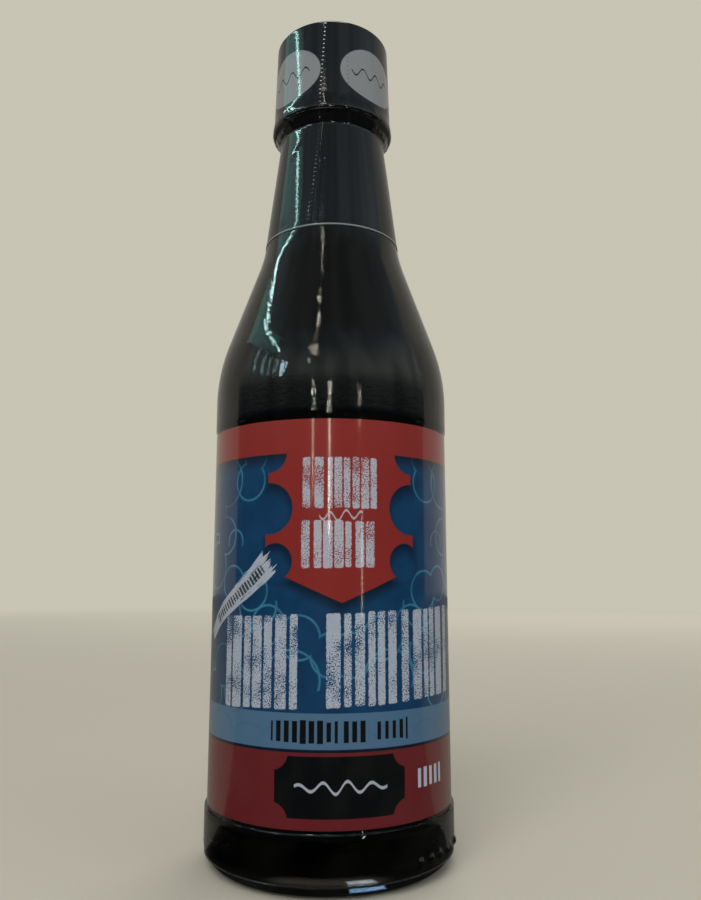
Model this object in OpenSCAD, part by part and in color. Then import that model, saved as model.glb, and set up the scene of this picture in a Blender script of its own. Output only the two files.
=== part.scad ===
// A 250 ml glass soy sauce bottle: glass, sauce, wrap-round label, screw cap and the shrink sleeve
// that seals cap and neck. It stands on the ring under its base, with the label's front towards -Y.

/* [Body] */
// Radius of the heel, the widest part of the glass
body_r = 28.5; // [24:0.1:34.2]
// How far the label panel lies inside the heel
panel_recess = 0.65; // [0.2:0.05:1.5]
// How far the bead above the label lies inside the heel
bead_recess = 0.35; // [0:0.05:1]
// Height of the heel, from the table to the label panel
heel_h = 13; // [11:0.5:18]
// Radius of the rounded edge at the bottom of the heel
heel_round = 5; // [2:0.1:6]
// Height of the bead between the label panel and the shoulder
bead_h = 8; // [3:0.5:14]
// Thickness of the glass wall
wall = 3; // [2:0.1:3.6]

/* [Base] */
// Inner radius of the ring that the bottle stands on
ring_r = 20.5; // [16:0.5:21.5]
// Height of the hollow under the base at its middle
push_up = 2.5; // [1:0.1:4]
// Thickness of the glass at the middle of the base
base_t = 4; // [3:0.1:6]
// Radius of the inner corner between the floor and the wall
floor_round = 8; // [4:0.5:12]

/* [Mould dots] */
// Radius of a mould dot on the heel
dot_r = 0.8; // [0.5:0.05:1]
// How far a dot's centre lies inside the glass
dot_sink = 0.3; // [0:0.05:0.5]
// Height of the dots above the table
dot_z = 5.3; // [3.5:0.1:8]
// Places taken by dots, counted in steps round the heel
dot_slots = [0, 1, 2, 3, 5];
// Angle of the first dot, from the middle of the front
dot_start = 41; // [0:1:90]
// Angle between two places
dot_step = 7; // [5:0.5:12]

/* [Shoulder and neck] */
// Radius of the curve that starts the shoulder
shoulder_round = 41.5; // [25:0.5:60]
// Slope of the shoulder, in degrees from upright
shoulder_slope = 19.6; // [15:0.1:30]
// Radius of the hollow curve into the neck
neck_round = 44; // [25:0.5:60]
// Radius of the glass where the neck starts
neck_r = 16.5; // [14.5:0.1:18]
// Taper of the neck, in degrees
neck_taper = 6.9; // [0:0.1:9]
// Length of the neck up to the finish
neck_h = 28; // [15:0.1:36]

/* [Finish and cap] */
// Radius of the finish, the glass inside the cap
finish_r = 12.3; // [11:0.1:14.8]
// Height of the finish
finish_h = 23.6; // [18:0.1:28]
// Radius of the mouth
mouth_r = 9.4; // [7:0.1:10]
// Clearance between the finish and the cap, and under the cap
cap_fit = 0.3; // [0.1:0.05:0.5]
// Thickness of the cap's skirt at the top
cap_wall = 1.8; // [1.2:0.1:3]
// Thickness of the cap's top
cap_top_t = 2; // [1:0.1:4]
// How much wider the skirt is at its foot than at its top
cap_draft = 0.6; // [0:0.05:1.2]
// How far the tamper band stands out from the skirt
band_lip = 0.4; // [0.1:0.05:0.8]
// Height of the tamper band
band_h = 4; // [2:0.25:6]
// Radius of the cap's top edge
cap_round = 0.5; // [0.5:0.1:2.5]
// Gap between the finish's ledge and the foot of the cap
ledge_gap = 1; // [0.5:0.1:2]

/* [Sauce] */
// Length of the neck, below the finish, that holds no sauce
head_space = 20; // [5:0.5:28]

/* [Label and sleeve] */
// Height of the label
label_h = 83; // [60:0.5:110]
// Bare panel left above and below the label
label_margin = 0.3; // [0.1:0.05:2]
// Thickness of the label
label_t = 0.12; // [0.08:0.01:0.3]
// Width of the open seam at the back of the label
seam = 0.6; // [0.3:0.1:2]
// Thickness of the shrink sleeve
film = 0.2; // [0.1:0.02:0.4]
// Length of neck covered by the sleeve, below the finish
sleeve_drop = 30; // [15:0.5:32]
// How far the sleeve folds in over the cap's top
fold = 3; // [1.5:0.25:6]

/* [Hidden] */
$fn = 96;

panel_r = body_r - panel_recess;
bead_r = body_r - bead_recess;
panel_z = heel_h;
panel_h = label_h + 2 * label_margin;
bead_z = panel_z + panel_h;
step_h = 1;                      // height of the slopes at the panel's two ends

// Points on an arc round the centre c, from angle a0 to a1
function arc(c, r, a0, a1, n = 10) = [for (i = [0:n]) c + r * [cos(a0 + (a1 - a0) * i / n), sin(a0 + (a1 - a0) * i / n)]];

// The shoulder: a full curve, a straight slope and a hollow curve that ends on the neck's taper
shoulder_z = bead_z + bead_h;
slope_r0 = bead_r - shoulder_round * (1 - cos(shoulder_slope));
slope_z0 = shoulder_z + shoulder_round * sin(shoulder_slope);
slope_r1 = neck_r + neck_round * (cos(neck_taper) - cos(shoulder_slope));
slope_z1 = slope_z0 + (slope_r0 - slope_r1) / tan(shoulder_slope);
hollow_centre = [slope_r1 + neck_round * cos(shoulder_slope), slope_z1 + neck_round * sin(shoulder_slope)];
neck_z = hollow_centre[1] - neck_round * sin(neck_taper);
finish_z = neck_z + neck_h;
neck_top_r = neck_r - neck_h * tan(neck_taper);
rim_z = finish_z + finish_h;

shoulder_line = concat(
    arc([bead_r - shoulder_round, shoulder_z], shoulder_round, 0, shoulder_slope, 12),
    arc(hollow_centre, neck_round, 180 + shoulder_slope, 180 + neck_taper, 8),
    [[neck_top_r, finish_z]]);
line_by_height = [for (p = shoulder_line) [p[1], p[0]]];
function glass_r(z) = lookup(z, line_by_height);

// The inside of the glass from the middle of the floor up to the finish
floor_z = push_up + base_t;
inner_r = panel_r - wall;
inner_line = concat(
    [[0, floor_z]],
    arc([inner_r - floor_round, floor_z + floor_round], floor_round, -90, 0, 8),
    [[inner_r, bead_z]],
    [for (p = shoulder_line) p - [wall, 0]]);
level_z = finish_z - head_space;

cap_z = finish_z + ledge_gap;
cap_bore_r = finish_r + cap_fit;
skirt_r = cap_bore_r + cap_wall;
cap_top_z = rim_z + cap_top_t;
foot_r = skirt_r + cap_draft;
cap_flank = [[foot_r + band_lip, cap_z], [foot_r + band_lip, cap_z + band_h / 4], [foot_r, cap_z + band_h]];
edge_centre = [skirt_r - cap_round, cap_top_z - cap_round];

sleeve_z = finish_z - sleeve_drop;
tuck_z = finish_z - ledge_gap;
sleeve_flank = concat(
    [[glass_r(sleeve_z), sleeve_z]],
    [for (p = shoulder_line) if (p[1] > sleeve_z && p[1] < tuck_z) p],
    [[glass_r(tuck_z), tuck_z]],
    cap_flank);
function backwards(points) = [for (i = [len(points) - 1:-1:0]) points[i]];

// Glass: heel, label panel, shoulder, neck and finish, over a hollowed base
module bottle() {
    outside = concat(
        [[0, push_up], [ring_r - push_up, push_up], [ring_r, 0]],
        arc([body_r - heel_round, heel_round], heel_round, -90, 0, 8),
        [[body_r, heel_h - step_h], [panel_r, panel_z], [panel_r, bead_z], [bead_r, bead_z + step_h]],
        shoulder_line,
        [[finish_r, finish_z], [finish_r, rim_z]]);
    inside = concat(inner_line, [[mouth_r, finish_z + wall], [mouth_r, rim_z]]);
    color([0.01, 0.02, 0.03]) union() {
        rotate_extrude() polygon(concat(outside, backwards(inside)));
        heel_dots();
    }
}

// The mould's code: round dots that stand out from the heel
module heel_dots() {
    for (slot = dot_slots)
        rotate([0, 0, dot_start + slot * dot_step])
            translate([0, dot_sink - body_r, dot_z]) sphere(r = dot_r, $fn = 24);
}

// Sauce: all of the inside up to its level in the neck
module sauce() {
    below = [for (p = inner_line) if (p[1] < level_z) p];
    color([0.05, 0.02, 0.01])
        rotate_extrude() polygon(concat(below, [[glass_r(level_z) - wall, level_z], [0, level_z]]));
}

// Screw cap: it closes on the rim and clears the finish by the fit
module cap() {
    bore = [[0, rim_z], [cap_bore_r, rim_z], [cap_bore_r, cap_z]];
    top_edge = arc(edge_centre, cap_round, 0, 90, 6);
    color([0.03, 0.03, 0.04])
        rotate_extrude() polygon(concat(bore, cap_flank, top_edge, [[0, cap_top_z]]));
}

// Shrink sleeve: one film from the neck, over the cap's skirt and round its top edge
module sleeve() {
    inside = concat(sleeve_flank, arc(edge_centre, cap_round, 0, 90, 6), [[skirt_r - fold, cap_top_z]]);
    outside = concat(
        [for (p = sleeve_flank) p + [film, 0]],
        arc(edge_centre, cap_round + film, 0, 90, 6),
        [[skirt_r - fold, cap_top_z + film]]);
    color([0.02, 0.02, 0.03])
        rotate_extrude() polygon(concat(inside, backwards(outside)));
}

// Label: wraps the panel, with its two ends left apart at the back
module label() {
    color([0.0, 0.2, 0.4]) difference() {
        translate([0, 0, panel_z + label_margin]) cylinder(r = panel_r + label_t, h = label_h);
        translate([0, 0, panel_z]) cylinder(r = panel_r, h = panel_h);
        translate([-seam / 2, 0, panel_z]) cube([seam, body_r, panel_h]);
    }
}

bottle();
sauce();
cap();
sleeve();
label();
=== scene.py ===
import math
import random

import bmesh
import bpy
from mathutils import Matrix, Vector, noise


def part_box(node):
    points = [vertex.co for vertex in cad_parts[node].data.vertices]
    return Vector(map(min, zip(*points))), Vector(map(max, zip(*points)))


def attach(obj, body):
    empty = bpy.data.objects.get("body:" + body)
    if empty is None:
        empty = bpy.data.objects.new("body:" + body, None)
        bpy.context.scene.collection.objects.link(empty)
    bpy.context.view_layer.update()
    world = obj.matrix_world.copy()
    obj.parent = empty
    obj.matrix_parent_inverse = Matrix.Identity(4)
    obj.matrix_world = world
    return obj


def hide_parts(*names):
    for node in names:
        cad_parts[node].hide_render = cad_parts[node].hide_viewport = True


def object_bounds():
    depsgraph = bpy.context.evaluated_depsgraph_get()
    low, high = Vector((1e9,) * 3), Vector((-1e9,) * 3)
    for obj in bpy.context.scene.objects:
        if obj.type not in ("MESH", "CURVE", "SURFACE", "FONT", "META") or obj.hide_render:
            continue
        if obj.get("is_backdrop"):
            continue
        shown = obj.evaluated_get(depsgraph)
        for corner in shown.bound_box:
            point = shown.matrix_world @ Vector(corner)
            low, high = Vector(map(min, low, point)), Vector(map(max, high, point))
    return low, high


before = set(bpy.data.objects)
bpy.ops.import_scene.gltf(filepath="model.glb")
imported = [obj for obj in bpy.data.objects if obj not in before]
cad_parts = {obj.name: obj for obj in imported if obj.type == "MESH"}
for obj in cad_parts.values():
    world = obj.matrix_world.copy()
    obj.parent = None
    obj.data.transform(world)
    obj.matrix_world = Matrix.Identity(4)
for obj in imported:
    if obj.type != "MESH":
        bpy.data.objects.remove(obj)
cad_low, cad_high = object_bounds()


# --- Glass -----------------------------------------------------------------------------------
# The bottle itself: moulded soda glass, blown in two halves, with a proud heel, a recessed panel
# for the label, a long sloped shoulder and a neck that tapers up to the finish under the cap.
# The base is pushed up inside a ring, and the heel carries the mould's code as small round dots.

MM = 0.001
glass_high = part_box("bottle")[1]
label_low, label_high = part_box("label")
sauce_low, sauce_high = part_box("sauce")

BODY_R = (cad_high.y - cad_low.y) / 2 / MM
RIM_Z = glass_high.z / MM
LABEL_R = label_high.x / MM
LABEL_Z0 = label_low.z / MM
LABEL_Z1 = label_high.z / MM
LABEL_T = 0.12
PANEL_R = LABEL_R - LABEL_T
MARGIN = 0.3
BEAD_R = BODY_R - 0.35
BEAD_H = 8.0
PANEL_Z0 = LABEL_Z0 - MARGIN
PANEL_Z1 = LABEL_Z1 + MARGIN
HEEL_ROUND = 5.0
RING_R = 20.5
PUSH_UP = 2.5
FLOOR_Z = sauce_low.z / MM
FLOOR_ROUND = 8.0
INNER_R = sauce_high.y / MM
WALL = PANEL_R - INNER_R
SHOULDER_Z = PANEL_Z1 + BEAD_H
SHOULDER_ROUND = 41.5
SLOPE = math.radians(19.6)
NECK_ROUND = 44.0
NECK_R = 16.5
TAPER = math.radians(6.9)
NECK_H = 28.0
FINISH_R = 12.3
MOUTH_R = 9.4


def arc(centre, radius, start, end, steps):
    """Points on a circular arc in the outline's plane, as (radius, height)."""
    points = []
    for i in range(steps + 1):
        turn = start + (end - start) * i / steps
        points.append((centre[0] + radius * math.cos(turn), centre[1] + radius * math.sin(turn)))
    return points


def shoulder_outline():
    """The outline from the bead above the label up to the finish."""
    low_r = BEAD_R - SHOULDER_ROUND * (1 - math.cos(SLOPE))
    low_z = SHOULDER_Z + SHOULDER_ROUND * math.sin(SLOPE)
    high_r = NECK_R + NECK_ROUND * (math.cos(TAPER) - math.cos(SLOPE))
    high_z = low_z + (low_r - high_r) / math.tan(SLOPE)
    hollow = (high_r + NECK_ROUND * math.cos(SLOPE), high_z + NECK_ROUND * math.sin(SLOPE))
    neck_z = hollow[1] - NECK_ROUND * math.sin(TAPER)
    points = arc((BEAD_R - SHOULDER_ROUND, SHOULDER_Z), SHOULDER_ROUND, 0, SLOPE, 24)
    points += arc(hollow, NECK_ROUND, math.pi + SLOPE, math.pi + TAPER, 20)
    points.append((NECK_R - NECK_H * math.tan(TAPER), neck_z + NECK_H))
    return points


def radius_at(outline, z):
    """The outline's radius at a height, between its two nearest points."""
    for (r0, z0), (r1, z1) in zip(outline, outline[1:]):
        if z0 <= z <= z1:
            return r0 + (r1 - r0) * (z - z0) / (z1 - z0)
    return outline[-1][0]


def spaced(outline, gap):
    """The same outline with points no further apart than the gap, and no point twice."""
    points = [outline[0]]
    for (r0, z0), (r1, z1) in zip(outline, outline[1:]):
        if (r0, z0) == (r1, z1):
            continue
        parts = max(1, math.ceil(math.hypot(r1 - r0, z1 - z0) / gap))
        for i in range(1, parts + 1):
            points.append((r0 + (r1 - r0) * i / parts, z0 + (z1 - z0) * i / parts))
    return points


def turned(outline, steps, closed=True, sweep=math.tau, start=0.0):
    """Spins an outline of (radius, height) points in mm round the bottle's axis."""
    bm = bmesh.new()
    spot = Matrix.Rotation(start, 3, "Z")
    verts = [bm.verts.new(spot @ Vector((r * MM, 0, z * MM))) for r, z in outline]
    edges = [bm.edges.new(pair) for pair in zip(verts, verts[1:])]
    if closed:
        edges.append(bm.edges.new((verts[-1], verts[0])))
    full = sweep == math.tau
    spun = bmesh.ops.spin(bm, geom=verts + edges, cent=(0, 0, 0), axis=(0, 0, 1), angle=sweep,
                          steps=steps, use_merge=full, space=Matrix.Identity(4))
    if not full:
        ends = [e for e in spun["geom_last"] if isinstance(e, bmesh.types.BMEdge)]
        bmesh.ops.contextual_create(bm, geom=edges)
        bmesh.ops.contextual_create(bm, geom=ends)
    bmesh.ops.remove_doubles(bm, verts=bm.verts, dist=1e-7)
    bmesh.ops.recalc_face_normals(bm, faces=bm.faces)
    return bm


def piece(name, bm, node, sharp=35):
    """Makes a finished piece of the mesh and seats it in place of its CAD node."""
    mesh = bpy.data.meshes.new(name)
    bm.to_mesh(mesh)
    bm.free()
    mesh.shade_smooth()
    mesh.set_sharp_from_angle(angle=math.radians(sharp))
    made = bpy.data.objects.new(name, mesh)
    bpy.context.scene.collection.objects.link(made)
    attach(made, "root")
    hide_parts(node)
    return made


neck_line = shoulder_outline()
FINISH_Z = neck_line[-1][1]


def glass_outside():
    """The outer outline, from the middle of the base to the rim."""
    line = [(0, PUSH_UP), (RING_R - PUSH_UP - 2, PUSH_UP - 0.2), (RING_R - 0.8, 0.5), (RING_R, 0.1)]
    line += [(RING_R + 0.5, 0)]
    heel = (BODY_R - HEEL_ROUND, HEEL_ROUND)
    for start, end, steps in ((-90, -36, 14), (-36, -17, 20), (-17, 0, 6)):
        line += arc(heel, HEEL_ROUND, math.radians(start), math.radians(end), steps)
    line += [(BODY_R, PANEL_Z0 - 0.55), (BODY_R - 0.06, PANEL_Z0 - 0.42)]
    line += [(PANEL_R + 0.06, PANEL_Z0 - 0.36), (PANEL_R, PANEL_Z0 - 0.2)]
    line += [(PANEL_R, PANEL_Z1), (BEAD_R - 0.05, PANEL_Z1 + 0.8), (BEAD_R, PANEL_Z1 + 1.2)]
    line += neck_line
    line += [(FINISH_R, FINISH_Z + 0.4), (FINISH_R, RIM_Z - 0.6), (FINISH_R - 0.6, RIM_Z)]
    return spaced(line, 1.5)


def glass_inside(grow=0.0):
    """The inner outline, from the middle of the floor to the finish, set into the wall by grow."""
    corner = arc((INNER_R - FLOOR_ROUND, FLOOR_Z + FLOOR_ROUND), FLOOR_ROUND + grow, -math.pi / 2, 0, 20)
    line = [(0, FLOOR_Z - grow)] + corner + [(INNER_R + grow, LABEL_Z1)]
    line += [(r - WALL + grow, z) for r, z in neck_line]
    return spaced(line, 3.0)


# the dots stand on the right of the heel, 7 degrees apart with one place left empty
DOT_R = 0.8
DOT_PROUD = 0.5
DOT_Z = 5.3
DOT_TURNS = (41, 48, 55, 62, 76)


def raise_dots(bm):
    """Lifts the mould's dots out of the heel, on a mesh made finer round each of them."""
    spots = []
    for turn in DOT_TURNS:
        way = Matrix.Rotation(math.radians(turn), 3, "Z") @ Vector((0, -BODY_R, 0))
        spots.append((way + Vector((0, 0, DOT_Z))) * MM)

    def heel():
        level = [v for v in bm.verts if abs(v.co.z / MM - DOT_Z) < 2.5 and v.co.x > 0]
        return [v for v in level if v.co.xy.length > (INNER_R + 1) * MM]

    near = {v for v in heel() if min((v.co - spot).length for spot in spots) < 1.9 * MM}
    edges = [e for e in bm.edges if e.verts[0] in near and e.verts[1] in near]
    bmesh.ops.subdivide_edges(bm, edges=edges, cuts=5, use_grid_fill=True)
    for v in heel():
        for spot in spots:
            gap = (v.co - spot).length / MM / DOT_R
            if gap < 1.3:
                lift = DOT_PROUD * math.cos(gap / 1.3 * math.pi / 2) ** 0.7
                v.co += Vector((v.co.x, v.co.y, 0)).normalized() * lift * MM
    return bm


glass_loop = glass_outside()
glass_loop += [(MOUTH_R + 0.6, RIM_Z), (MOUTH_R, RIM_Z - 0.6), (MOUTH_R, FINISH_Z + WALL)]
glass_loop += reversed(glass_inside())
glass_bm = turned(glass_loop, 256, closed=False)

# the parting line of the mould, a fine ridge round the foot of the heel
PARTING_Z = 2.8
PARTING_OUT = 0.32
PARTING_WIDTH = 0.2
for v in glass_bm.verts:
    lift = PARTING_OUT * math.exp(-((v.co.z / MM - PARTING_Z) / PARTING_WIDTH) ** 2)
    flat = Vector((v.co.x, v.co.y, 0))
    if flat.length > (INNER_R + 1) * MM:
        v.co += flat.normalized() * lift * MM
raise_dots(glass_bm)
glass = piece("bottle_glass", glass_bm, "bottle")


class Field:
    """A number that changes over a surface. Arithmetic on it adds Math nodes to its finish."""

    def __init__(self, finish, socket):
        self.finish = finish
        self.socket = socket

    def math(self, operation, *others, clamp=False):
        settings = {"operation": operation, "use_clamp": clamp}
        return self.finish.add("ShaderNodeMath", settings, [self, *others])

    def flipped(self, operation, other):
        return self.finish.add("ShaderNodeMath", {"operation": operation}, [other, self])

    def __add__(self, other):
        return self.math("ADD", other)

    def __sub__(self, other):
        return self.math("SUBTRACT", other)

    def __rsub__(self, other):
        return self.flipped("SUBTRACT", other)

    def __mul__(self, other):
        return self.math("MULTIPLY", other)

    def __truediv__(self, other):
        return self.math("DIVIDE", other)

    def __rtruediv__(self, other):
        return self.flipped("DIVIDE", other)

    def __pow__(self, other):
        return self.math("POWER", other)

    def __abs__(self):
        return self.math("ABSOLUTE")

    def __neg__(self):
        return self.math("MULTIPLY", -1.0)

    __radd__ = __add__
    __rmul__ = __mul__

    def least(self, other):
        return self.math("MINIMUM", other)

    def most(self, other):
        return self.math("MAXIMUM", other)

    def sqrt(self):
        return self.math("SQRT")

    def sin(self):
        return self.math("SINE")

    def below(self, edge, soft=0.05):
        """1 where the number is under the edge, 0 where it is over, soft in between."""
        return ((edge - self) / soft + 0.5).math("ADD", 0.0, clamp=True)

    def above(self, edge, soft=0.05):
        return ((self - edge) / soft + 0.5).math("ADD", 0.0, clamp=True)


class Finish:
    """A material's nodes, built from one Principled shader with its plain settings on its own sockets."""

    def __init__(self, name, **settings):
        self.material = bpy.data.materials.new(name)
        self.material.use_nodes = True
        self.tree = self.material.node_tree
        self.shader = self.tree.nodes["Principled BSDF"]
        for key, value in settings.items():
            self.shader.inputs[key.replace("_", " ")].default_value = value

    def add(self, kind, settings=None, inputs=(), output=0):
        """Adds a node: its settings first, then the values or links of its sockets."""
        node = self.tree.nodes.new(kind)
        for key, value in (settings or {}).items():
            setattr(node, key, value)
        pairs = inputs.items() if isinstance(inputs, dict) else enumerate(inputs)
        for key, value in pairs:
            socket = node.inputs[key]
            if isinstance(value, Field):
                self.tree.links.new(value.socket, socket)
            else:
                socket.default_value = value
        return Field(self, node.outputs[output])

    def place(self):
        """Object coordinates in mm, as three Fields."""
        spot = self.add("ShaderNodeTexCoord", output=3)
        scaled = self.add("ShaderNodeVectorMath", {"operation": "SCALE"}, {0: spot, "Scale": 1 / MM})
        split = self.add("ShaderNodeSeparateXYZ", {}, [scaled])
        parts = [Field(self, split.socket.node.outputs[i]) for i in range(3)]
        return scaled, parts

    def vector(self, x, y, z):
        return self.add("ShaderNodeCombineXYZ", {}, [x, y, z])

    def noise(self, vector, scale, detail=2.0, rough=0.5):
        settings = {"Vector": vector, "Scale": scale, "Detail": detail, "Roughness": rough}
        return self.add("ShaderNodeTexNoise", {}, settings)

    def mix(self, under, over, amount):
        """Lays one colour over another by the amount."""
        return self.add("ShaderNodeMix", {"data_type": "RGBA"}, {0: amount, 6: under, 7: over}, output=2)

    def feed(self, name, value):
        self.tree.links.new(value.socket, self.shader.inputs[name])

    def bump(self, height, distance, strength=1.0):
        """Roughens the surface by a height in mm."""
        settings = {"Height": height, "Distance": distance * MM, "Strength": strength}
        self.feed("Normal", self.add("ShaderNodeBump", {}, settings))


def paint(red, green, blue):
    """A linear colour from its three values out of 255 as a screen shows them."""
    shown = [c / 255 for c in (red, green, blue)]
    return tuple(c / 12.92 if c < 0.043 else ((c + 0.055) / 1.055) ** 2.4 for c in shown) + (1.0,)


clear = Finish("bottle_glass", Base_Color=(0.93, 0.97, 0.94, 1), Roughness=0.0, IOR=1.5,
               Transmission_Weight=1.0)
spot, (x, y, z) = clear.place()
# long waves drawn up the wall and small pits, as blown glass has, and a smoky tint in its depth
waves = clear.noise(clear.vector(x * 0.6, y * 0.6, z * 0.12), 0.35, 2.0) * 0.25
pits = clear.noise(spot, 0.9, 1.0) * 0.035 + clear.noise(spot, 1.7, 0.0) * 0.042
clear.bump(waves + pits, 1.0, 0.35)
smoke = clear.add("ShaderNodeVolumeAbsorption", {}, {"Color": (0.28, 0.36, 0.34, 1), "Density": 450.0})
clear.tree.links.new(smoke.socket, clear.tree.nodes["Material Output"].inputs["Volume"])
glass.data.materials.append(clear.material)


# --- Sauce -----------------------------------------------------------------------------------
# Dark soy sauce, brown in a thin film and black in this bulk. It fills the glass to a level in
# the neck that the sleeve hides, and reaches a little into the wall so that no air shows between.

SINK = 0.15
LEVEL_Z = sauce_high.z / MM
sauce_line = [p for p in glass_inside(SINK) if p[1] < LEVEL_Z]
sauce_line += [(radius_at(neck_line, LEVEL_Z) - WALL + SINK, LEVEL_Z), (0, LEVEL_Z)]
sauce = piece("sauce", turned(sauce_line, 192, closed=False), "sauce")

dark = Finish("dark_sauce", Roughness=0.25, IOR=1.06)
spot, (x, y, z) = dark.place()
cloud = dark.noise(spot, 0.05, 2.0)
dark.feed("Base Color", dark.mix(paint(8, 7, 6), paint(13, 10, 8), cloud))
sauce.data.materials.append(dark.material)


# --- Cap -------------------------------------------------------------------------------------
# A screw cap moulded in black plastic, closed down on the rim. All but the middle of its top is
# inside the shrink sleeve, so its skirt is plain and follows the film's inner face.

cap_low, cap_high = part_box("cap")
CAP_Z = cap_low.z / MM
CAP_TOP = cap_high.z / MM
BAND_R = cap_high.y / MM
SKIRT_R = 14.4
SKIRT_FOOT_R = BAND_R - 0.4
CAP_ROUND = 0.5
CAP_BORE_R = FINISH_R + 0.3
DISH_R = 10.4
cap_flank = [(BAND_R - 0.2, CAP_Z), (BAND_R, CAP_Z + 0.2), (BAND_R, CAP_Z + 1.0)]
cap_flank += [(SKIRT_FOOT_R, CAP_Z + 4.0)]
cap_flank += arc((SKIRT_R - CAP_ROUND, CAP_TOP - CAP_ROUND), CAP_ROUND, 0, math.pi / 2, 10)
cap_line = [(0, RIM_Z), (CAP_BORE_R, RIM_Z), (CAP_BORE_R, CAP_Z)] + cap_flank
cap_line += [(DISH_R, CAP_TOP), (DISH_R - 0.2, CAP_TOP - 0.25), (DISH_R - 0.8, CAP_TOP - 0.25)]
cap_line += [(DISH_R - 1.0, CAP_TOP - 0.05), (0, CAP_TOP - 0.05)]
cap = piece("screw_cap", turned(cap_line, 128, closed=False), "cap")

moulded = Finish("cap_plastic", Roughness=0.35)
spot, (x, y, z) = moulded.place()
grain = moulded.noise(spot, 3.0, 3.0)
moulded.feed("Base Color", moulded.mix(paint(24, 24, 26), paint(32, 32, 34), grain))
moulded.bump(grain, 0.03)
cap.data.materials.append(moulded.material)


# --- Shrink sleeve ---------------------------------------------------------------------------
# A tube of glossy black film shrunk tight over cap and neck, with a pale cut edge on the glass.
# Two lines of perforation run down it for tearing, the film gathers in small pleats where it
# crosses from the cap to the neck, and pale ovals are printed round the cap.

sleeve_low, sleeve_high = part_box("sleeve")
FILM = 0.2
SLEEVE_Z = sleeve_low.z / MM
SLEEVE_TOP = sleeve_high.z / MM
FOLD = 3.0
TUCK_Z = FINISH_Z - 1.0


def sleeve_outline():
    """The film's outer outline from its cut edge up to the end of its fold on the cap's top."""
    line = [(radius_at(neck_line, SLEEVE_Z), SLEEVE_Z)]
    line += [p for p in neck_line if SLEEVE_Z < p[1] < TUCK_Z]
    neck_end = radius_at(neck_line, TUCK_Z)
    line += [(neck_end, TUCK_Z - 0.6), (neck_end + 0.15, TUCK_Z - 0.1), (neck_end + 0.6, TUCK_Z + 0.4)]
    line += [(BAND_R - 0.9, CAP_Z - 0.35), (BAND_R - 0.35, CAP_Z), (BAND_R - 0.05, CAP_Z + 0.6)]
    line += [(BAND_R, CAP_Z + 1.2), (BAND_R - 0.12, CAP_Z + 2.2), (SKIRT_FOOT_R + 0.12, CAP_Z + 3.2)]
    line += [(SKIRT_FOOT_R, CAP_Z + 4.4)]
    line = [(r + FILM, z) for r, z in line]
    line += arc((SKIRT_R - CAP_ROUND, CAP_TOP - CAP_ROUND), CAP_ROUND + FILM, 0, math.pi / 2, 12)
    line += [(SKIRT_R - FOLD + 0.1, SLEEVE_TOP), (SKIRT_R - FOLD, SLEEVE_TOP - FILM)]
    return line


def ridge(turn, place, width):
    """A smooth ridge across a direction: 1 on its line, falling to 0 past its width."""
    gap = (turn - place + math.pi) % math.tau - math.pi
    return math.exp(-(gap / width) ** 2)


def film_relief(turn, z):
    """How far the film stands off, in mm, at an angle from the front and a height."""
    way = Vector((math.cos(turn), math.sin(turn), 0))
    off = 0.04 * noise.noise(way * 2.2 + Vector((0, 0, z * 0.06)))
    # two long creases down the neck, and a short slanted one across its left side
    on_neck = max(0.0, min(1.0, (CAP_Z - 2 - z) / 3))
    for place, rise in ((-20, 0.06), (-14, 0.2)):
        off += rise * on_neck * ridge(turn, math.radians(place + (z - SLEEVE_Z) * 0.12), 0.03)
    fold_turn = math.radians(-41 + (z - CAP_Z + 9.5) * 2.5)
    off += 0.22 * on_neck * ridge(turn, fold_turn, 0.05) * math.exp(-((z - CAP_Z + 9.5) / 1.6) ** 2)
    # the pleats under the cap, in three sizes that lie over each other
    pleat = math.exp(-((z - CAP_Z + 0.5) / 2.6) ** 2)
    slant = Matrix.Rotation(z * 0.035, 3, "Z") @ way
    off += 0.30 * pleat * max(0.0, noise.noise(slant * 4.5 + Vector((0, 0, z * 0.12))) - 0.05)
    off += 0.12 * pleat * noise.noise(slant * 12 + Vector((3, 1, z * 0.3)))
    off += 0.07 * pleat * noise.noise(slant * 30 + Vector((1, 7, z * 0.5)))
    return off


sleeve_out = spaced(sleeve_outline(), 0.5)
sleeve_bm = turned(sleeve_out, 300, closed=False)
for v in sleeve_bm.verts:
    turn = math.atan2(v.co.x, -v.co.y)
    flat = Vector((v.co.x, v.co.y, 0))
    if (SLEEVE_Z + 0.2) * MM < v.co.z < (CAP_TOP - 2) * MM:
        v.co += flat.normalized() * film_relief(turn, v.co.z / MM) * MM
bmesh.ops.solidify(sleeve_bm, geom=sleeve_bm.faces, thickness=FILM * MM)
sleeve = piece("shrink_sleeve", sleeve_bm, "sleeve")

FILM_BLACK = paint(9, 11, 13)
OVAL_GREY = paint(132, 136, 142)
WAVE_GREY = paint(20, 22, 26)
CUT_EDGE_GREY = paint(130, 136, 138)
# painted highlight: the pale grey of the perforation holes stands for glints on their cut edges
HOLE_GLINT_GREY = paint(48, 50, 52)
OVAL_Z = 188.0
OVAL_TURN = 43
OVAL_HALF = (9.3, 7.0)
PRINT_R = 15
HOLE_PITCH = 1.15

film = Finish("shrink_film", Roughness=0.06)
spot, (x, y, z) = film.place()
turn = film.add("ShaderNodeMath", {"operation": "ARCTAN2"}, [x, -y]) * (180 / math.pi)
height = (z - CAP_Z) / (CAP_TOP - CAP_Z)
cap_part = z.above(CAP_Z + 0.5, 0.5)
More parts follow.
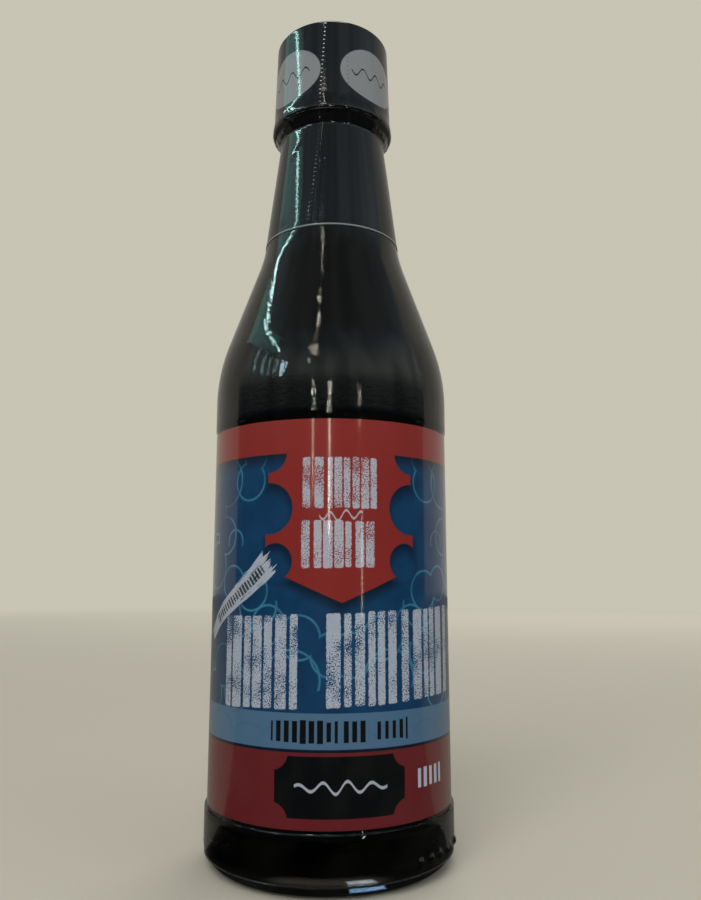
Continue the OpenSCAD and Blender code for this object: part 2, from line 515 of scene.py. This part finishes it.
# four ovals round the cap, a quarter turn apart
quarter = ((turn - OVAL_TURN + 45) / 90).math("FRACT") * 90 - 45
along = quarter * math.radians(PRINT_R)
oval = ((along / OVAL_HALF[0]) ** 2.0 + ((z - OVAL_Z) / OVAL_HALF[1]) ** 2.0).below(1.0, 0.06)
oval = oval * cap_part
edge = z.below(SLEEVE_Z + 0.35, 0.1)
colour = film.mix(FILM_BLACK, OVAL_GREY, oval)
wave = (abs(z - OVAL_Z - (along * 1.5).sin() * 1.1) - 0.25).most(abs(along) - 6.4).below(0, 0.15)
colour = film.mix(colour, WAVE_GREY, wave * cap_part)
colour = film.mix(colour, CUT_EDGE_GREY, edge)
# the two perforated lines, which spread apart down the neck; their holes are painted pale grey as a
# painted highlight where the cut edges catch light, strongest left of the front and on the cap
down = (CAP_TOP - z) / (CAP_TOP - SLEEVE_Z)
lines = (abs(turn + 7 + down * 13).below(1.1, 0.8)).most(abs(turn - 13 - down * 7).below(1.1, 0.8))
holes = (z / HOLE_PITCH).math("FRACT").below(0.42, 0.12)
# painted highlight: the mask is full on the left of the front and weaker elsewhere, as the light falls
perforation_and_glint = lines * holes * z.above(SLEEVE_Z + 1, 1) * turn.below(4, 1).most(0.45)
colour = film.mix(colour, HOLE_GLINT_GREY, perforation_and_glint * (height.above(0, 0.6) * 0.4 + 0.15))
film.feed("Base Color", colour)
ripple = film.noise(film.vector(x, y, z * 1.6), 0.9, 3.0)
crinkle = film.noise(film.vector(turn * 0.26, z * 0.22, 0.0), 1.5, 3.0, 0.6)
film.bump(ripple * 0.025 + crinkle * 0.017 + perforation_and_glint * 0.08, 1.0, 0.55)
sleeve.data.materials.append(film.material)


# --- Label -----------------------------------------------------------------------------------
# A printed and varnished plastic film wrapped once round the panel, its two ends meeting at the
# back. The print is a blue field between two red bands, with a scalloped banner and pale worn
# shapes; the shapes stand where a maker would put words, and say nothing.

LABEL_SINK = 0.03
LABEL_EDGE = 0.03
SEAM_HALF = math.radians(0.6)
label_line = [(PANEL_R - LABEL_SINK, LABEL_Z0), (LABEL_R - LABEL_EDGE, LABEL_Z0)]
label_line += [(LABEL_R, LABEL_Z0 + LABEL_EDGE), (LABEL_R, LABEL_Z1 - LABEL_EDGE)]
label_line += [(LABEL_R - LABEL_EDGE, LABEL_Z1), (PANEL_R - LABEL_SINK, LABEL_Z1)]
label_bm = turned(label_line, 256, sweep=math.tau - 2 * SEAM_HALF, start=math.pi / 2 + SEAM_HALF)
label = piece("label", label_bm, "label")

BAND_RED = paint(138, 39, 35)
# the low band's red is partly its own ink and partly painted shade, darker for shade over the bottle's
# lower part
LOW_RED_WITH_SHADE = paint(106, 32, 38)
FIELD_BLUE = paint(2, 51, 92)
PALE_BLUE = paint(7, 67, 110)
STRIP_BLUE = paint(77, 113, 147)
CURL_BLUE = paint(70, 150, 186)
INK_WHITE = paint(186, 196, 214)
INK_BLACK = paint(8, 10, 14)
DEEP_BLUE = paint(4, 22, 44)
PANEL_GREY = paint(150, 156, 166)

TOP_BAND_Z = 88.9
STRIP_Z = (28.6, 35.6)
LOW_BAND_Z = 28.0
PRINT_SHIFT = 2.4
BANNER_HALF = 16.4
BANNER_POINT_Z = 57.5
BANNER_SCALLOPS = (((16.2, 89.1), 4.2), ((16.1, 77.2), 5.5), ((14.5, 66.0), 3.9))

printed = Finish("printed_film", Roughness=0.35, Specular_IOR_Level=0.2, Coat_Weight=1.0,
                 Coat_Roughness=0.08)
spot, (x, y, z) = printed.place()
across = printed.add("ShaderNodeMath", {"operation": "ARCTAN2"}, [x, -y]) * LABEL_R - PRINT_SHIFT
side = abs(across)
flat_spot = printed.vector(across, z, 0.0)
patches = printed.noise(flat_spot, 0.16, 2.0)
grit = printed.noise(flat_spot, 3.4, 2.0, 0.7)
rough_edge = (printed.noise(flat_spot, 1.3, 2.0) - 0.5) * 0.9


def ring_gap(centre, radius, level=z):
    """Distance outside a circle of the print, in mm, mirrored about the banner's middle."""
    return ((side - centre[0]) ** 2.0 + (level - centre[1]) ** 2.0).sqrt() - radius


def lowest(gaps):
    """The smallest of several Fields: the distance outside the shapes taken together."""
    gaps = list(gaps)
    together = gaps[0]
    for gap in gaps[1:]:
        together = together.least(gap)
    return together


def rounded(gap_x, gap_z, corner):
    """Distance outside a box whose corners are rounded, from its distances along each way."""
    out_x = (gap_x + corner).most(0.0)
    out_z = (gap_z + corner).most(0.0)
    return (out_x ** 2.0 + out_z ** 2.0).sqrt() - corner


def banner_gap(drop):
    """Distance outside the banner when it is moved down: a shield with three scallops in each side."""
    level = z + drop
    gap = (side - BANNER_HALF - level.below(77) * 0.5).most(BANNER_POINT_Z - level + side * 0.44)
    for centre, radius in BANNER_SCALLOPS:
        gap = gap.most(-ring_gap(centre, radius, level))
    return gap


# curls on the blue: outlines of small clouds of circles, and loose arcs, mirrored left and right
line = None
for cloud in (
        (((29.5, 84.0), 5.5), ((35.5, 77.5), 5.0), ((30.0, 72.0), 4.2), ((35.0, 65.5), 5.2)),
        (((21.5, 83.5), 4.2), ((20.0, 88.5), 3.0)),
        (((20.5, 60.0), 4.2), ((26.5, 61.5), 3.8)),
        (((9.0, 50.5), 4.5), ((16.0, 53.0), 4.0), ((2.0, 47.0), 4.5), ((20.0, 47.0), 4.4)),
        (((4.0, 27.5), 4.6), ((12.0, 29.0), 5.0), ((20.5, 27.0), 6.0), ((30.0, 29.5), 5.0),
         ((38.0, 27.0), 6.0)),
        (((30.0, 44.0), 4.5), ((25.0, 39.0), 4.0), ((35.0, 38.0), 4.6), ((40.0, 46.0), 5.0)),
        (((46.0, 76.0), 6.0), ((54.0, 72.0), 5.0), ((50.0, 65.0), 5.0), ((60.0, 78.0), 4.5)),
        (((48.0, 50.0), 6.0), ((56.0, 46.0), 5.0), ((64.0, 52.0), 5.5), ((52.0, 40.0), 4.5))):
    outline = abs(lowest(ring_gap(centre, radius) for centre, radius in cloud)).below(0.2, 0.3)
    line = outline if line is None else line.most(outline)
for centre, radius, low, high in (
        ((26.0, 70.5), 2.6, -1, 9), ((19.0, 57.0), 5.0, -9, 1),
        ((10.5, 42.0), 6.0, -2, 9), ((68.0, 66.0), 6.0, -9, 1)):
    rise = z - centre[1]
    curl = abs(ring_gap(centre, radius)).below(0.2, 0.3) * rise.above(low, 0.4) * rise.below(high, 0.4)
    line = line.most(curl)
faded = printed.noise(flat_spot, 0.12, 1.0).above(0.46, 0.3) * 0.55 + 0.2

field = printed.mix(FIELD_BLUE, PALE_BLUE, patches.above(0.5, 0.5) * side.below(30, 20))
field = printed.mix(field, CURL_BLUE, line * faded)
field = printed.mix(field, STRIP_BLUE, z.below(STRIP_Z[1], 0.12) * (1 - line * faded * 0.8))
field = printed.mix(field, DEEP_BLUE, z.below(STRIP_Z[0], 0.12))
under_band = z.above(TOP_BAND_Z - 1.9, 2.6)
shadow = banner_gap(1.5).below(0.3, 2.4).most(under_band) * z.above(STRIP_Z[1])
field = printed.mix(field, DEEP_BLUE, shadow * 0.9)
field = printed.mix(field, BAND_RED, z.above(TOP_BAND_Z, 0.12).most(banner_gap(0.0).below(0, 0.12)))
# painted shade: the low band is laid in a darker red than the top band, partly for shade over the lower
# part
field = printed.mix(field, LOW_RED_WITH_SHADE, z.below(LOW_BAND_Z, 0.12))

# worn upright strokes of many widths: two short rows on the banner and one tall row on the blue
draw = random.Random(5)
strokes = None
for start, end, low, high, tilt, widths in (
        (-8.4, 7.6, 76.9, 88.2, 0.0, (1.0, 2.0)), (-8.6, 8.4, 64.6, 74.6, 0.0, (1.0, 2.0)),
        (-28.4, -9.2, 36.6, 55.6, 0.035, (1.5, 3.0)), (-3.2, 32.6, 36.6, 55.6, 0.035, (1.5, 3.0))):
    while start < end - widths[0]:
        width = min(draw.uniform(*widths), end - start)
        gap_x = abs(across - start - width / 2) - width / 2
        tall = high - low - draw.uniform(0, 0.6)
        gap_z = abs(z - across * tilt - (low + high) / 2) - tall / 2
        gap = rounded(gap_x, gap_z, 0.4)
        strokes = gap if strokes is None else strokes.least(gap)
        start += width + widths[0] * draw.choice((0.35, 0.5, 0.9))
strokes = (strokes + rough_edge * 0.45).below(0, 0.15)
wear = (grit + patches * 0.6).below(0.86, 0.06)
strokes = strokes * wear * (0.66 + patches * 0.55)
field = printed.mix(field, INK_WHITE, strokes)

# a thin wavy line between the two short rows
WAVE_Z = 75.6
wave_z = z - WAVE_Z - (across * 1.9).sin() * 0.9 - (across * 0.8).sin() * 0.3
wave = (abs(wave_z) - 0.25).most(abs(across + 0.2) - 4.6).below(0, 0.15)
field = printed.mix(field, INK_WHITE, wave * 0.8)

# a dry brush stroke on the left, broad and ragged at its upper end
BRUSH_SPOT = (-26.3, 58.0)
BRUSH_WAY = (0.782, 0.623)
from_brush = (across - BRUSH_SPOT[0], z - BRUSH_SPOT[1])
along = from_brush[0] * BRUSH_WAY[0] + from_brush[1] * BRUSH_WAY[1]
off = from_brush[1] * BRUSH_WAY[0] - from_brush[0] * BRUSH_WAY[1] + (along * 0.22).sin() * 0.5
bristle = printed.noise(printed.vector(along * 0.16, off * 2.6, 0.0), 1.0, 2.0)
thick = 1.7 + along * 0.055
stroke = (abs(off) - thick - bristle * 0.8).most(abs(along) - 16.5 + bristle * 7).below(0, 0.15)
stroke = stroke * bristle.below(0.62, 0.08)
field = printed.mix(field, INK_WHITE, stroke * 0.85 * z.below(TOP_BAND_Z))


def ticks(way, over, pitch, start, end, tall, row):
    """A run of small upright bars, each of its own width and height."""
    cell = way / pitch
    settings = {"noise_dimensions": "1D"}
    own = printed.add("ShaderNodeTexWhiteNoise", settings, {"W": cell.math("FLOOR") + row * 7.3})
    narrow = abs(cell.math("FRACT") - 0.5) - 0.22 - own * 0.14
    body = (narrow * pitch).most(abs(over) - tall * (0.75 + own * 0.25))
    return body.most(start - way).most(way - end).below(0, 0.12)


# dark bars on the pale strip and on the brush stroke, pale bars on the low band
STRIP_BARS_Z = 32.0
LOW_BARS_Z = 21.6
for start, end, row in ((-14.8, -0.8, 1), (0.4, 5.6, 2), (6.9, 14.8, 3)):
    field = printed.mix(field, INK_BLACK, ticks(across, z - STRIP_BARS_Z, 1.75, start, end, 2.3, row))
field = printed.mix(field, INK_BLACK, ticks(along, off, 0.95, -8.0, 11.0, 1.1, 4) * 0.9)
field = printed.mix(field, INK_WHITE, ticks(across, z - LOW_BARS_Z, 1.9, 17.6, 26.0, 2.3, 5))

# a plain dark plaque with its corners cut in rounds, and a thin wave across it
PLAQUE_Z = 21.4
plaque = (side - 13.9).most(abs(z - PLAQUE_Z) - 5.9)
corner = ((side - 14.6) ** 2.0 + (abs(z - PLAQUE_Z) - 6.6) ** 2.0).sqrt()
plaque = plaque.most(3.6 - corner)
field = printed.mix(field, INK_BLACK, plaque.below(0, 0.15))
wave_z = z - PLAQUE_Z - (across * 1.25).sin() * 1.3 * (1 - side * 0.07)
wave = (abs(wave_z) - 0.3).most(side - 9.6).below(0, 0.15)
field = printed.mix(field, INK_WHITE, wave * 0.85)

# the back: a pale panel on each side of the seam, with rows of fine bars and one block of tall bars
BACK_PANEL = (66.0, 62.0)
TALL_BARS_Z = 45.0
panel = rounded(abs(side - BACK_PANEL[0]) - 15.0, abs(z - BACK_PANEL[1]) - 22.0, 2.0).below(0, 0.15)
field = printed.mix(field, PANEL_GREY, panel)
pitch = (z / 2.6).math("FRACT") * 2.6 - 1.3
fine = ticks(side, pitch, 0.85, 53.0, 79.0, 0.62, 6)
rows = fine * abs(z - 66.0).below(15.6, 0.1) * panel
field = printed.mix(field, INK_BLACK, rows * 0.85)
tall_bars = ticks(across, z - TALL_BARS_Z, 0.75, 58.0, 74.0, 4.2, 7)
tall_bars = tall_bars * abs(z - TALL_BARS_Z).below(3.1, 0.1)
field = printed.mix(field, INK_BLACK, tall_bars)

printed.feed("Base Color", field)
printed.bump(printed.noise(spot, 2.6, 3.0) * 0.035 + printed.noise(spot, 0.25, 1.0) * 0.08, 1.0, 0.5)
label.data.materials.append(printed.material)


# --- Floor, light and camera -----------------------------------------------------------------
# A pale floor and a pale soft room behind the bottle, darker on the camera's side, so that the
# glass stays black in front and picks up light at its two edges.

bpy.context.scene.view_settings.view_transform = "Standard"


def sheet(name, low, high, z, material):
    """A flat rectangle on the floor's level."""
    bm = bmesh.new()
    bmesh.ops.create_grid(bm, x_segments=1, y_segments=1, size=0.5)
    size = Vector((high[0] - low[0], high[1] - low[1], 1))
    bmesh.ops.scale(bm, vec=size, verts=bm.verts)
    bmesh.ops.translate(bm, vec=((high[0] + low[0]) / 2, (high[1] + low[1]) / 2, z), verts=bm.verts)
    mesh = bpy.data.meshes.new(name)
    bm.to_mesh(mesh)
    bm.free()
    made = bpy.data.objects.new(name, mesh)
    made.data.materials.append(material)
    bpy.context.scene.collection.objects.link(made)
    made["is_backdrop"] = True
    return made


# the board fades into the wall far off; another on top, seen only in the gloss of the glass, is
# painted darker in front as painted shade on the board, with a pale arc and two bright strips that glow to
# light the foot of the heel
board = Finish("floor_board", Roughness=1.0, Specular_IOR_Level=0.0, Emission_Strength=1.0)
spot, (x, y, z) = board.place()
far = (x ** 2.0 + y ** 2.0).sqrt().above(1000, 1500)
board.feed("Base Color", board.mix(paint(205, 202, 190), (0, 0, 0, 1), far))
board.feed("Emission Color", board.mix((0, 0, 0, 1), (0.58, 0.555, 0.46, 1), far))
ground = sheet("floor", (-6, -6), (6, 6), 0.0, board.material)
ground.visible_glossy = False

mirrored = Finish("mirrored_board", Roughness=1.0, Specular_IOR_Level=0.0, Emission_Strength=1.0)
spot, (x, y, z) = mirrored.place()
cloudy = mirrored.noise(spot, 0.02, 2.0)
# painted shade: the front of this board is dark with paler cloudy patches, for the shaded board that the
# glass mirrors
shaded_front_tone = mirrored.mix(paint(22, 25, 26), paint(84, 84, 78), cloudy.above(0.5, 0.2))
mirrored.feed("Base Color", mirrored.mix(shaded_front_tone, paint(142, 140, 130), y.above(2, 3)))
reach = (x ** 2.0 + y ** 2.0).sqrt()
glow = reach.below(37, 8) * reach.above(30.5, 1.5) * abs(x + 0.5).below(14, 6)
shine = mirrored.mix((0, 0, 0, 1), (0.55, 0.52, 0.42, 1), glow)
patchy = mirrored.noise(spot, 0.55, 1.0).above(0.45, 0.5)
for middle, deep, colour in ((27.5, 0.25, (3.5, 7, 11, 1)), (32.0, 1.5, (8, 8.8, 9.5, 1))):
    strip = (abs(x - 8.0) - 3.4).most(abs(reach - middle) - deep).below(0, 1.2) * y.below(0, 1)
    shine = mirrored.mix(shine, colour, strip * (0.35 + patchy * 0.65))
mirrored.feed("Emission Color", shine)
flag = sheet("mirrored_board", (-3, -3), (3, 3), 0.0004, mirrored.material)
for way in ("camera", "diffuse", "shadow", "transmission", "volume_scatter"):
    setattr(flag, "visible_" + way, False)

# the room: plain and pale to the eye, even to what it lights, and in reflections pale behind and
# a band of light in front that fades upwards, downwards and from side to side
world = bpy.data.worlds.new("room")
bpy.context.scene.world = world
world.use_nodes = True
room = world.node_tree
shade = room.nodes["Background"]


def room_node(kind, settings, inputs, output=0):
    """Adds a node to the room's light."""
    node = room.nodes.new(kind)
    for key, value in settings.items():
        setattr(node, key, value)
    for key, value in inputs.items():
        if isinstance(value, bpy.types.NodeSocket):
            room.links.new(value, node.inputs[key])
        else:
            node.inputs[key].default_value = value
    return node.outputs[output]


way = room_node("ShaderNodeTexCoord", {}, {})
split = room_node("ShaderNodeSeparateXYZ", {}, {0: way}).node
behind = room_node("ShaderNodeMapRange", {}, {0: split.outputs[1], 1: 0.19, 2: 0.21})
front = room_node("ShaderNodeValToRGB", {}, {0: split.outputs[2]})
ramp = front.node.color_ramp
ramp.elements[0].color = (0.03, 0.04, 0.05, 1)
ramp.elements[0].position = 0.12
ramp.elements[1].color = (0.20, 0.22, 0.20, 1)
ramp.elements[1].position = 0.85
for place, colour in (
        (0.20, (0.10, 0.12, 0.12, 1)), (0.38, (0.66, 0.71, 0.65, 1)),
        (0.48, (0.59, 0.65, 0.62, 1)), (0.64, (0.36, 0.42, 0.46, 1))):
    ramp.elements.new(place).color = colour
round_room = room_node("ShaderNodeCombineXYZ", {}, {0: split.outputs[0], 1: split.outputs[1]})
uneven = room_node("ShaderNodeTexNoise", {}, {"Vector": round_room, "Scale": 3.5, "Detail": 1.0})
lit = room_node("ShaderNodeMapRange", {}, {0: uneven, 1: 0.38, 2: 0.62, 3: 0.6, 4: 1.0})
front = room_node("ShaderNodeMix", {"data_type": "RGBA"}, {0: lit, 6: (0.01, 0.018, 0.03, 1), 7: front}, 2)
pale_room = (0.38, 0.365, 0.315, 1)
around = room_node("ShaderNodeMix", {"data_type": "RGBA"}, {0: behind, 6: front, 7: pale_room}, 2)
path = room_node("ShaderNodeLightPath", {}, {}).node
soft = room_node("ShaderNodeMix", {"data_type": "RGBA"},
                 {0: path.outputs["Is Diffuse Ray"], 6: around, 7: (0.30, 0.29, 0.26, 1)}, 2)
seen = room_node("ShaderNodeMix", {"data_type": "RGBA"},
                 {0: path.outputs["Is Camera Ray"], 6: soft, 7: (0.58, 0.555, 0.46, 1)}, 2)
room.links.new(seen, shade.inputs["Color"])


def lamp(name, place, aim, size, power, colour, glossy=True, diffuse=True):
    """An area lamp of a size in metres, turned to its aim."""
    data = bpy.data.lights.new(name, "AREA")
    data.shape = "RECTANGLE"
    data.size, data.size_y = size
    data.energy = power
    data.color = colour
    made = bpy.data.objects.new(name, data)
    made.location = place
    made.rotation_euler = (Vector(aim) - Vector(place)).to_track_quat("-Z", "Y").to_euler()
    made.visible_glossy = glossy
    made.visible_diffuse = diffuse
    made.visible_camera = False
    bpy.context.scene.collection.objects.link(made)
    return made


# three large soft lamps light the bottle and the floor
lamp("key", (-0.3, -1.0, 1.1), (0, 0, 0.09), (1.0, 1.0), 11, (1, 0.98, 0.95), glossy=False)
lamp("back", (0.5, 1.4, 0.9), (0, 0, 0.09), (1.0, 1.0), 9, (1, 0.98, 0.95), glossy=False)
lamp("fill", (0.9, -0.6, 0.5), (0, 0, 0.09), (0.8, 0.8), 1.5, (0.9, 0.95, 1), glossy=False)


def around_bottle(turn, rise, reach, height=0.1):
    """A place round the bottle: turned from the front towards +X, and raised."""
    side = math.radians(turn)
    up = math.radians(rise)
    flat = reach * math.cos(up)
    return (flat * math.sin(side), -flat * math.cos(side), height + reach * math.sin(up))


# a window on the left under a long bright rail that climbs to the back, with a pane and bars below
lamp("window", (-1.0, -0.05, 0.95), (0, -0.05, 0.13), (1.0, 0.22), 0.55, (0.22, 0.7, 0.62), diffuse=False)
rail = lamp("rail", (-1.0, 0.0, 1.06), (0, 0.0, 0.13), (1.4, 0.018), 1.6, (0.6, 1, 0.95), diffuse=False)
rail.rotation_euler.rotate_axis("Z", math.radians(-11))
lamp("pane", (-1.0, -0.86, 0.65), (0, 0, 0.11), (0.10, 0.22), 0.8, (0.6, 0.85, 1), diffuse=False)
for y in (-0.62, -0.46, -0.30, -0.12):
    lamp(f"bar_{y}", (-1.0, y, 0.62), (0, 0, 0.11), (0.03, 0.25), 0.09, (0.5, 0.9, 0.9), diffuse=False)
# thin warm tubes in front, and one soft warm patch that the cap picks up
for turn, rise, tall, bright in (
        (-19, 53, 0.35, 0.8), (-23, 33, 0.22, 0.5), (-17, 11, 0.25, 0.7), (-1.5, 12.5, 0.15, 1.4),
        (27, 14, 0.12, 1.0), (-1.5, 5, 0.13, 1.3), (29, -1, 0.2, 0.5)):
    place = around_bottle(turn, rise, 1.2)
    power = bright * tall
    lamp(f"tube_{turn}_{rise}", place, (0, 0, 0.1), (0.005, tall), power, (1, 0.93, 0.78), diffuse=False)
lamp("warm", around_bottle(-17, 36, 1.2), (0, 0, 0.19), (0.11, 0.16), 0.3, (1, 0.85, 0.7), diffuse=False)
# a ceiling lamp for the upper sides of the dots and of the sleeve's fold
lamp("ceiling", (0, -0.35, 1.3), (0, 0, 0), (0.7, 0.25), 7, (0.95, 1, 1), diffuse=False)

# The camera stands in front, a little over a third of the way up, and looks slightly up.
EYE = Vector((0, -0.19507, 0.06188))
PITCH = math.radians(9.37)
YAW = math.radians(1.42)
view = bpy.data.cameras.new("camera")
view.lens = 31.88
view.sensor_width = 36
view.clip_start = 0.01
eye = bpy.data.objects.new("camera", view)
eye.location = EYE
eye.rotation_euler = (math.pi / 2 + PITCH, 0, -YAW)
bpy.context.scene.collection.objects.link(eye)
bpy.context.scene.camera = eye

low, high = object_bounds()
